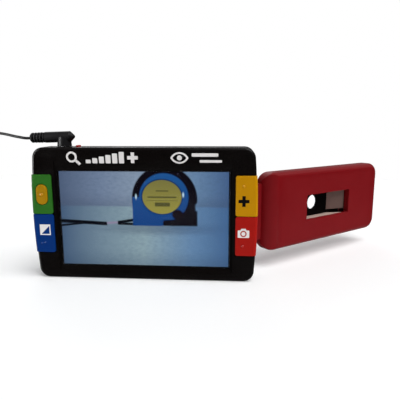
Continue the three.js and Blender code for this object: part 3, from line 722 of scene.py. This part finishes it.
def pale_floor():
    floor = prism("floor", circle(FLOOR_X, FLOOR_Y, FLOOR_RADIUS, 96), -10, -0.03, along_z)
    made, tree, shader, place = new_material("pale_floor")
    cloud = noise(tree, place, 9)
    fill(tree, shader, {"Base Color": mixed(tree, cloud, (0.88, 0.88, 0.88, 1), (0.92, 0.92, 0.92, 1)),
                        "Roughness": 0.8, "Specular IOR Level": 0.1,
                        "Emission Color": (1, 1, 1, 1), "Emission Strength": 0.15})
    floor.visible_glossy = False  # so that the glossy black stays dark low down
    floor.data.materials.append(made)


def studio():
    """A broad soft light from above and the right, a weak one from behind, and a panel on the left."""
    sun_light("overhead", (0.42, -0.3, 0.85), 50, 2.25)
    sun_light("from_behind", (-0.3, 0.85, 0.5), 45, 0.5)
    panel_light("left_panel", (-0.9, -0.5, 0.25), (0, 0, 0.04), 0.25, 0.9, 12)
    room()
    pale_floor()
    bpy.context.scene.view_settings.view_transform = "Standard"


# ---- charger cord
def coil_points():
    """The coil's turns, clockwise seen from above: layer on layer, inwards and outwards by turns."""
    step = 2 * math.pi / TURN_POINTS
    rise_steps = 3
    layer_points = COIL_TURNS * TURN_POINTS
    spacing = CORD_DIAMETER * 1.03
    angle = -math.pi / 2
    points = []

    def place(radius, height):
        points.append((COIL_X + radius * math.cos(angle), COIL_Y + radius * math.sin(angle), height))

    for layer in range(COIL_LAYERS):
        low = COIL_BOTTOM + layer * spacing
        begin, end = (COIL_OUTER, COIL_INNER) if layer % 2 == 0 else (COIL_INNER, COIL_OUTER)
        for k in range(layer_points):
            place(begin + (end - begin) * k / layer_points, low)
            angle -= step
        for k in range(rise_steps):
            share = k / rise_steps
            place(end, low + spacing * share * share * (3 - 2 * share))
            angle -= step
    # off the inside and out over the top turns
    top = COIL_BOTTOM + COIL_LAYERS * spacing
    way_out = TURN_POINTS + 5
    for k in range(way_out):
        place(COIL_INNER + (COIL_OUTER - COIL_INNER) * k / way_out, top)
        angle -= step
    return points


def charger_cord():
    curve = bpy.data.curves.new("charger_cord_flex", "CURVE")
    curve.dimensions = "3D"
    curve.bevel_depth = CORD_DIAMETER / 2
    curve.bevel_resolution = 3
    curve.resolution_u = 4
    points = CORD_ROUTE + coil_points() + TAIL_ROUTE
    spline = curve.splines.new("BEZIER")
    spline.bezier_points.add(len(points) - 1)
    for place, point in zip(points, spline.bezier_points):
        point.co = place
        point.handle_left_type = point.handle_right_type = "AUTO"
    cord = placed("charger_cord_flex", curve)
    dress(cord, CORD_BLACK, "display_unit", "cord_jacket",
          "charger_cord", "charger_cord_coil", "charger_cord_tail")
    return cord


def charger_part(piece, edge, node_name, segments=2, angle=32):
    soften(piece, edge, segments, angle)
    return dress(piece, CHARGER_BLACK, "display_unit", "charger_black", node_name)


def plug_axis(piece):
    """Lays a piece turned round Z along the plug, its heights running from the nose to the cord."""
    turn = Matrix.Rotation(-(math.pi / 2 + PLUG_TILT), 4, "Y")
    return moved(piece, shift(PLUG_X, PLUG_Y, PLUG_Z) @ turn)


def charger_plug():
    """The right-angled plug's moulded body, and its ribbed strain relief."""
    r = PLUG_RADIUS
    body = plug_axis(turned("charger_plug_moulding", [(0.4, -6.2), (0.9, -5.9), (r, -3.6), (r, 10.6)]))
    collar = loft("collar", [[(x, y, z) for x, y in circle(PLUG_X, PLUG_Y, radius)]
                             for radius, z in ((4, BODY_HEIGHT + GAP), (3.5, PLUG_Z))])
    join(body, collar)
    charger_part(body, 0.35, "dc_plug_body", 3, 20)

    # radius and height: a flange, the ribs, each after its groove, and the end on the cord
    profile = [(2.4, 10.9), (2.85, 11), (2.9, 11.6)]
    groove, pitch = 1.9, 1.7
    for k in range(RELIEF_RIBS):
        height = 11.8 + pitch * k
        outer = 2.95 - 0.04 * k
        profile += [(groove, height), (groove, height + 0.6), (outer, height + 0.75), (outer, height + 1.5)]
    profile += [(2.6, 18.7), (2.1, 19.2), (1.3, 19.4)]
    relief = plug_axis(turned("plug_relief_ribs", profile))
    charger_part(relief, 0.1, "plug_strain_relief", angle=30)
    return [body, relief]


def cord_tie():
    """A flat strap round the coil, with its small buckle."""
    (x0, x1), (y0, y1) = TIE_X, TIE_Y
    strap = prism("cord_tie_strap", rounded_rect(x0, x1, 0, TIE_HEIGHT, 1.8), y0, y1)
    inside = rounded_rect(x0, x1, 0, TIE_HEIGHT, 1.9, TIE_THICKNESS)
    cut(strap, prism("inside", inside, y0 - 1, y1 + 1))
    join(strap, block("buckle", x1 - 0.7, x1 + 1.2, y0 - 0.4, y1 + 0.4, 4.2, 7.6))
    cut(strap, block("buckle_slot", x1 + 0.5, x1 + 1.3, y0 + 0.3, y1 - 0.3, 5.2, 6.6))
    soften(strap, 0.15)
    dress(strap, CORD_BLACK, "display_unit", "charger_black", "cord_tie")
    return strap


def mains_adapter():
    """The adapter's case and face, split at a seam, and the strain relief where the cord enters."""
    x0, x1, y0, y1 = ADAPTER
    seam = ADAPTER_SEAM_X

    def outline(inset):
        return rounded_rect(x0, x1, y0, y1, ADAPTER_CORNER, inset)

    def half(name, cut_from, cut_to):
        """The hollow box, without what lies between two planes across it."""
        whole = slab(name, outline, 0, ADAPTER_HEIGHT, ADAPTER_EDGE, ADAPTER_EDGE, along_z)
        wall = ADAPTER_WALL
        cut(whole, block("hollow", x0 + wall, x1 - wall, y0 + wall, y1 - wall, wall, ADAPTER_HEIGHT - wall),
            block("other_half", cut_from, cut_to, y0 - 1, y1 + 1, -1, ADAPTER_HEIGHT + 1))
        return whole

    case = half("adapter_case_shell", x0 - 1, seam + GAP / 2)
    grooves, pitch, wide, deep = 6, 1.5, 0.6, 0.35
    for k in range(grooves):
        x = seam + 3.4 + pitch * k
        for z in (0, ADAPTER_HEIGHT):
            cut(case, block("groove", x, x + wide, y0 + 5, y1 - 5, z - deep, z + deep))
    charger_part(case, 0.15, "adapter_case")

    face = half("adapter_face_plate", seam - GAP / 2, x1 + 1)
    middle_y, middle_z = (y0 + y1) / 2, ADAPTER_HEIGHT / 2
    for side in (-1, 1):
        y = middle_y + side * BLADE_SPACING / 2
        thin, tall = BLADE_THICKNESS / 2 + GAP, BLADE_WIDTH / 2 + GAP
        cut(face, block("slot", x0 - 1, x0 + 3, y - thin, y + thin, middle_z - tall, middle_z + tall))
    recess = rounded_rect(y0 + 3, y1 - 3, 3, ADAPTER_HEIGHT - 3, 2)
    cut(face, prism("recess", recess, x0 - 1, x0 + 0.4, along_x))
    charger_part(face, 0.15, "adapter_face")

    low, high = RELIEF_Y
    profile = [(1.3, 0), (1.6, 0.3)]
    for k in range(RELIEF_RIBS):
        height = 1.2 + 2 * k
        outer = 1.75 + 0.3 * k
        profile += [(outer - 0.1, height), (outer - 0.6, height + 0.1), (outer - 0.55, height + 0.9),
                    (outer + 0.05, height + 1)]
    profile += [(3.1, high - low - 1), (3.2, high - low)]
    turn = Matrix.Rotation(-math.pi / 2, 4, "X")
    relief = moved(turned("adapter_relief_ribs", profile), shift(RELIEF_X, low, RELIEF_Z) @ turn)
    charger_part(relief, 0.08, "adapter_strain_relief")
    return [case, face, relief]


# ---- display unit
def top_openings():
    """Cutters for the charging socket's mouth and the power key's slot."""
    half_width, half_depth = POWER_WIDTH / 2 + GAP, POWER_DEPTH / 2 + GAP
    mouth = rod("mouth", SOCKET_RADIUS, PLUG_X, PLUG_Y, BODY_HEIGHT - 5, BODY_HEIGHT + 5, along_z)
    slot_outline = rounded_rect(POWER_X - half_width, POWER_X + half_width,
                                PLUG_Y - half_depth, PLUG_Y + half_depth, 1.2)
    return mouth, prism("slot", slot_outline, BODY_HEIGHT - 5, BODY_HEIGHT + 5, along_z)


def screen_rect(beyond_sides, beyond_ends, radius):
    """A rectangle that reaches out past the display by the two margins."""
    wide, tall = SCREEN_HALF_WIDTH + beyond_sides, SCREEN_HALF_HEIGHT + beyond_ends
    return rounded_rect(-wide, wide, SCREEN_Z - tall, SCREEN_Z + tall, radius)


def trough():
    """The shallow trough round the screen, which ramps up to the front face above and below it."""
    low, high = SCREEN_Z - SCREEN_HALF_HEIGHT - OPENING_MARGIN, RAMP_FOOT_Z
    profile = [(FRONT_Y - 1, TROUGH_BOTTOM), (FRONT_Y, TROUGH_BOTTOM), (TROUGH_Y, low), (TROUGH_Y, high),
               (FRONT_Y, TROUGH_TOP), (FRONT_Y - 1, TROUGH_TOP)]
    return prism("trough", profile, -TROUGH_HALF_WIDTH, TROUGH_HALF_WIDTH, along_x)


def pad_pocket(side):
    """The hollow in the front and the side edge that both keys on one side lie in."""
    low, high = PAD_Z[0] - GAP, PAD_Z[3] + GAP
    floor = PAD_FACE_Y + PAD_THICKNESS + KEY_TRAVEL + GAP
    face = rounded_rect(PAD_INNER_X - GAP, FAR, low, high, 1.4)
    pocket = prism("pocket", face, FRONT_Y - 5, floor)
    join(pocket, block("wrap", PAD_SIDE_X - GAP, FAR, FRONT_Y - 5, PAD_WRAP_Y + KEY_TRAVEL + GAP, low, high))
    return pocket if side > 0 else mirrored(pocket)


def front_cover():
    edge = PARTING_Y - GAP / 2
    cover = slab("front_cover_shell", body_outline, FRONT_Y, edge, FRONT_FILLET)
    cut(cover, prism("inside", body_outline(WALL), FRONT_WALL_Y, BACK_Y), trough())
    cut(cover, prism("opening", screen_rect(OPENING_MARGIN, OPENING_MARGIN, 0.4), FRONT_Y - 2, 0))
    cut(cover, pad_pocket(-1), pad_pocket(1), *top_openings())
    soften(cover, 0.22, 3)
    dress(cover, BLACK_GLOSS, "display_unit", "gloss_black", "front_cover")


def lug(z0, z1):
    """One ear of the hinge, standing on the back cover."""
    ear = block("ear", HINGE_X - LUG_RADIUS, HINGE_X + LUG_RADIUS - 0.5, BACK_Y - 1.5, HINGE_Y, z0, z1)
    join(ear, rod("eye", LUG_RADIUS, HINGE_X, HINGE_Y, z0, z1, along_z))
    return ear


def back_cover():
    edge, past = PARTING_Y + GAP / 2, BACK_Y + 1
    cover = slab("back_cover_shell", body_outline, edge, BACK_Y, 0, BACK_FILLET)
    cut(cover, prism("inside", body_outline(WALL), FRONT_Y, BACK_Y - WALL))
    hole, seat, _ = CASE_SCREW
    for x, z in CASE_SCREWS:
        join(cover, rod("boss", BOSS_RADIUS, x, z, edge, BACK_Y - WALL + 0.5))
        cut(cover, rod("hole", hole, x, z, 0, past), rod("seat", seat, x, z, BACK_Y - WALL, past))
    low, high = KNUCKLE_Z[0] - LUG_CLEARANCE, KNUCKLE_Z[1] + LUG_CLEARANCE
    join(cover, lug(high, high + LUG_THICKNESS), lug(low - LUG_THICKNESS, low))
    cut(cover, rod("pin_hole", PIN_RADIUS + 0.2, HINGE_X, HINGE_Y, 0, BODY_HEIGHT, along_z))
    cut(cover, rod("camera_hole", CAMERA_HOLE, 0, CAMERA_Z, 0, past),
        rod("camera_recess", CAMERA_SEAT, 0, CAMERA_Z, BACK_Y - CAMERA_SEAT_DEPTH, past))
    for z in LED_Z:
        cut(cover, rod("lamp_hole", LED_HOLE, LED_X, z, 0, past))
    cut(cover, *top_openings())
    soften(cover, 0.25, 3)
    dress(cover, BLACK_MATT, "display_unit", "matt_black", "back_cover")


def screw(kind, number, place, radius, foot, top, body):
    """A countersunk screw's head with a cross recess, facing +Y, in the axes of its body."""
    x, z = place
    head = slab(f"{kind}_head_{number}", lambda inset: circle(x, z, radius - inset), foot, top, 0, 0.35)
    arm, thin, depth = radius * 0.55, 0.22, 0.55
    cut(head, block("recess", x - arm, x + arm, top - depth, top + 1, z - thin, z + thin),
        block("recess", x - thin, x + thin, top - depth, top + 1, z - arm, z + arm))
    soften(head, 0.06)
    dress(head, DARK_STEEL, body, "steel", f"{kind}_{number}")


def screws():
    for k, place in enumerate(CASE_SCREWS, 1):
        screw("case_screw", k, place, CASE_SCREW[2], BACK_Y - WALL + GAP, BACK_Y - 0.5, "display_unit")
    for k, place in enumerate(HANDLE_SCREWS, 1):
        screw("handle_screw", k, place, HANDLE_SCREW[2], HANDLE_INNER - 1.1, HANDLE_INNER - 0.3, "handle")


def laid_on_front(piece):
    """Bends a print down the trough's upper ramp."""
    bm = bmesh.new()
    bm.from_mesh(piece.data)
    everything = bm.verts[:] + bm.edges[:] + bm.faces[:]
    bmesh.ops.bisect_plane(bm, geom=everything, plane_co=(0, 0, TROUGH_TOP * MM), plane_no=(0, 0, 1))
    for vertex in bm.verts:
        share = (TROUGH_TOP - vertex.co.z / MM) / (TROUGH_TOP - RAMP_FOOT_Z)
        vertex.co.y += min(max(share, 0), 1) * (TROUGH_Y - FRONT_Y) * MM
    bm.to_mesh(piece.data)
    bm.free()


def printed(name, outline, face_y, thickness, sunk, *holes):
    """A flat mark that stands out from a face by its thickness and is sunk into it a little."""
    mark = prism(name, outline, face_y - thickness, face_y + sunk)
    cut(mark, *[prism("hole", hole, face_y - 1, face_y + 1) for hole in holes])
    return mark


def front_marks():
    """Pale pictograms above the screen: a magnifier, a scale, a plus, an eye and two bars."""
    lens, eye = (-38.7, 69.4), (20.6, 69.1)
    outlines = [(circle(*lens, 3), circle(*lens, 1.9)),
                ([(-37.2, 67.3), (-36.2, 68.3), (-33.7, 65.8), (-34.8, 64.8)],)]
    steps, pitch, wide, rise = 6, 3.7, 2.8, 0.85
    for k in range(steps):
        x = -30.9 + pitch * k
        outlines.append((rounded_rect(x, x + wide, 66, 68 + rise * k, 0.4),))
    outlines += [(cross(-4.9, 69.1, 2.9, 0.95),),
                 (eye_outline(*eye, 4.9, 3.1), eye_outline(*eye, 3.7, 2.2)),
                 (circle(*eye, 1.35),),
                 (rounded_rect(27.2, 41.4, 69.8, 71.6, 0.5),),
                 (rounded_rect(31.4, 43.4, 66.6, 68, 0.4),)]
    for k, (outline, *holes) in enumerate(outlines, 1):
        mark = printed(f"front_print_{k}", outline, FRONT_Y, 0.04, 0.1, *holes)
        laid_on_front(mark)
        dress(mark, PRINT_WHITE, "display_unit", "gloss_black")


def display_mask():
    """The thin black border between the front cover's opening and the lit picture."""
    over_sides, over_ends = MASK_OVERLAP
    mask = prism("display_mask", screen_rect(MASK_MARGIN, MASK_MARGIN, 0.3), *MASK_Y)
    cut(mask, prism("view", screen_rect(-over_sides, -over_ends, 0.2), -6, -4))
    soften(mask, 0.02)
    dress(mask, BLACK_MATT, "display_unit", "matt_black")


# ---- keys
def pad(key_name, side, row, material, slot):
    """A key that wraps round the unit's side edge. Its row is 0 below and 1 above."""
    z0, z1 = PAD_Z[2 * row], PAD_Z[2 * row + 1]
    key = slab(f"{key_name}_pad", lambda inset: body_outline(inset - PAD_SIDE_PROUD),
               PAD_FACE_Y, BACK_Y, PAD_FILLET)
    overlap(key, prism("limits", rounded_rect(PAD_INNER_X, FAR, z0, z1, 1.2), FRONT_Y - 5, PAD_WRAP_Y))
    cut(key, block("hollow", 0, PAD_SIDE_X, PAD_FACE_Y + PAD_THICKNESS, FAR, -FAR, FAR))
    if side < 0:
        mirrored(key)
    if key_name == "colour_mode":
        cut(key, prism("seat", rounded_rect(*INLAY, -GAP), FRONT_Y - 5, FRONT_Y))
    soften(key, 0.32, 3)
    dress(key, material, f"{key_name}_key", slot, f"{key_name}_button")


def dome(name, cx, cz, radius, height, material, rides):
    """A raised bump for the finger to find. rides is the bump's body and its slot."""
    bump = slab(name, lambda inset: circle(cx, cz, radius - inset * radius / height * 0.8, 24),
                PAD_FACE_Y - height, PAD_FACE_Y + 0.1, height)
    soften(bump, 0)
    dress(bump, material, *rides)


def pad_print(name, outline, material, rides, *holes):
    dress(printed(name, outline, PAD_FACE_Y, 0.03, 0.08, *holes), material, *rides)


def keys():
    pad("colour_mode", -1, 1, PAD_GREEN, "key_green")
    pad("contrast", -1, 0, PAD_BLUE, "key_blue")
    pad("zoom", 1, 1, PAD_YELLOW, "key_yellow")
    pad("freeze", 1, 0, PAD_RED, "key_red")

    rides = ("colour_mode_key", "key_orange")
    inlay = slab("colour_mode_inlay", lambda inset: rounded_rect(*INLAY, inset),
                 PAD_FACE_Y - INLAY_PROUD, FRONT_Y - GAP, 0.5)
    soften(inlay, 0)
    dress(inlay, PAD_ORANGE, *rides, "colour_mode_oval")
    dome("colour_mode_bump", -56.7, 48.6, 1, 0.8, BUMP_ORANGE, rides)

    # a square whose lower right half is left open
    rides = ("contrast_key", "key_blue")
    pad_print("contrast_icon", [(-59.1, 25.4), (-53, 25.4), (-53, 31.5), (-59.1, 31.5)], PRINT_WHITE, rides,
              [(-58.3, 26), (-53.6, 26), (-53.6, 30.7)])
    dome("contrast_bump_1", -58.2, 20.6, 0.65, 0.5, BUMP_BLUE, rides)
    dome("contrast_bump_2", -56.3, 21.2, 0.65, 0.5, BUMP_BLUE, rides)

    rides = ("zoom_key", "key_yellow")
    pad_print("zoom_plus_icon", cross(55.35, 45.9, 2.95, 0.9), PRINT_BLACK, rides)
    dome("zoom_bump", 55.25, 54, 0.8, 0.6, BUMP_YELLOW, rides)

    # a camera
    rides = ("freeze_key", "key_red")
    eye = (55.3, 27.9)
    pad_print("freeze_icon_body", rounded_rect(52.2, 58.5, 25.7, 29.9, 0.5), PRINT_WHITE, rides,
              circle(*eye, 1.75))
    pad_print("freeze_icon_top", [(53.6, 29.8), (57, 29.8), (56.5, 30.8), (54.1, 30.8)], PRINT_WHITE, rides)
    pad_print("freeze_icon_eye", circle(*eye, 1.1), PRINT_WHITE, rides)
    dome("freeze_bump", 55.1, 20.9, 0.8, 0.6, BUMP_RED, rides)

    cap_outline = (POWER_X - POWER_WIDTH / 2, POWER_X + POWER_WIDTH / 2,
                   PLUG_Y - POWER_DEPTH / 2, PLUG_Y + POWER_DEPTH / 2)
    cap = slab("power_button_cap", lambda inset: rounded_rect(*cap_outline, 0.9, inset),
               POWER_FOOT_Z, BODY_HEIGHT + POWER_PROUD, 0, 0.45, along_z)
    soften(cap, 0)
    dress(cap, PAD_RED, "power_key", "key_red", "power_button")


# ---- handle
def end_round():
    """Everything inside the round of the hinge end's outer corner."""
    along, through = HANDLE_END_ROUND
    quarter = [(HANDLE_START + along * (1 + u), HANDLE_OUTER + through * (1 + v))
               for u, v in arc(0, 0, 1, 180, 270, 20)]
    return prism("end_round", [(HANDLE_START, FAR)] + quarter + [(FAR, HANDLE_OUTER), (FAR, FAR)],
                 0, BODY_HEIGHT, along_z)


def knuckle():
    """The barrel on the hinge pin, and the tongue that joins it to the handle."""
    z0, z1 = KNUCKLE_Z
    barrel = rod("barrel", KNUCKLE_RADIUS, 0, 0, z0, z1, along_z)
    join(barrel, block("tongue", 0, HANDLE_START + 4.5, TONGUE_Y, HANDLE_SPLIT_Y - GAP / 2, z0, z1))
    join(barrel, block("tongue", 0, HANDLE_START - GAP, 0, KNUCKLE_RADIUS, z0, z1))
    cut(barrel, rod("bore", PIN_RADIUS + 0.15, 0, 0, z0 - 1, z1 + 1, along_z))
    return barrel


def handle_shell():
    edge = HANDLE_SPLIT_Y - GAP / 2
    shell = slab("handle_outer_shell", handle_outline, HANDLE_OUTER, edge, HANDLE_FILLET, steps=12)
    overlap(shell, end_round())
    wall = HANDLE_WALL
    hollow = rounded_rect(HOLLOW_START, HANDLE_END - wall, HANDLE_LOW + wall, HANDLE_HIGH - wall, 5)
    cut(shell, prism("hollow", hollow, HANDLE_OUTER + wall, HANDLE_INNER))
    for x, z in HANDLE_SCREWS:
        join(shell, rod("boss", BOSS_RADIUS, x, z, HANDLE_OUTER + 1, edge))
        cut(shell, rod("hole", HANDLE_SCREW[0], x, z, HANDLE_OUTER + 3.5, HANDLE_INNER))
    start, end, low, high = WINDOW
    rim = WINDOW_RIM
    join(shell, block("rim", start - rim, end + rim, HANDLE_OUTER + 1, WINDOW_RIM_Y, low - rim, high + rim))
    cut(shell, prism("window", rounded_rect(start, end, low, high, 0.6), HANDLE_OUTER - 1, HANDLE_INNER))
    cut(shell, block("floor_room", start - 2 * rim, end + 2 * rim, HANDLE_OUTER + wall, HANDLE_INNER,
                     low - 2 * rim, low))
    join(shell, knuckle())
    soften(shell, 0.35, 3, 30)
    dress(shell, HANDLE_RED, "handle", "handle_red", "handle_shell")


def handle_inner_cover():
    cover = slab("handle_inner_shell", handle_outline, HANDLE_OUTER, HANDLE_INNER,
                 HANDLE_FILLET, HANDLE_FILLET, steps=12)
    cut(cover, block("outer_half", -FAR, FAR, -FAR, HANDLE_SPLIT_Y + GAP / 2, -FAR, FAR))
    margin, past = 0.7, HANDLE_INNER + 1
    start, _, low, high = LENS_PLATE
    opening = rounded_rect(start - margin, WINDOW[1] + 2, low - margin, high + margin, 0.5)
    cut(cover, prism("opening", opening, 0, past))
    hole, seat, _ = HANDLE_SCREW
    for x, z in HANDLE_SCREWS:
        cut(cover, rod("hole", hole, x, z, 0, past), rod("seat", seat, x, z, HANDLE_INNER - 1.4, past))
    soften(cover, 0.2, 2, 30)
    dress(cover, HANDLE_RED, "handle", "handle_red", "handle_inner_cover")


# ---- CAD nodes that stay
def paint(material, *names, edge=0.0):
    """Gives CAD nodes a better material, and a fine rounded edge where edge is set."""
    for name in names:
        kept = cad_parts[name]
        coat(kept, material)
        if edge:
            bevel(kept, edge, segments=2, angle=40)


def kept_nodes():
    """The screen and everything inside keep their CAD shapes."""
    paint(SCREEN_LIT, "lcd_panel")
    paint(WINDOW_CLEAR, "display_window")
    paint(LENS_GLASS, "camera_window")
    paint(LED_CLEAR, "light_led_1", "light_led_2")
    paint(STEEL, "backlight_frame", "hinge_pin", "lower_friction_washer", "upper_friction_washer",
          "dc_plug_contact", "adapter_blade_1", "adapter_blade_2", "adapter_transformer", edge=0.15)
    paint(BOARD_GREEN, "main_board")
    paint(CELL_WRAP, "battery_pack", edge=0.4)
    paint(BLACK_MATT, "main_processor", "camera_module", "charging_socket", "power_switch", edge=0.1)
    for side in ("left", "right"):
        paint(BOARD_GREEN, f"{side}_key_board")
        paint(BLACK_MATT, f"{side}_upper_switch", f"{side}_lower_switch", edge=0.1)
    paint(BLACK_GLOSS, "camera_lens", edge=0.1)
    paint(DEEP_BLACK, "lens_plate", edge=0.1)
    paint(FROSTED, "light_diffuser", edge=0.1)
    paint(CREAM, "window_floor", edge=0.15)


camera()
studio()
front_cover()
back_cover()
screws()
front_marks()
display_mask()
keys()
handle_shell()
handle_inner_cover()
kept_nodes()
cord = charger_cord()
charger_plug() + [cord_tie()] + mains_adapter()
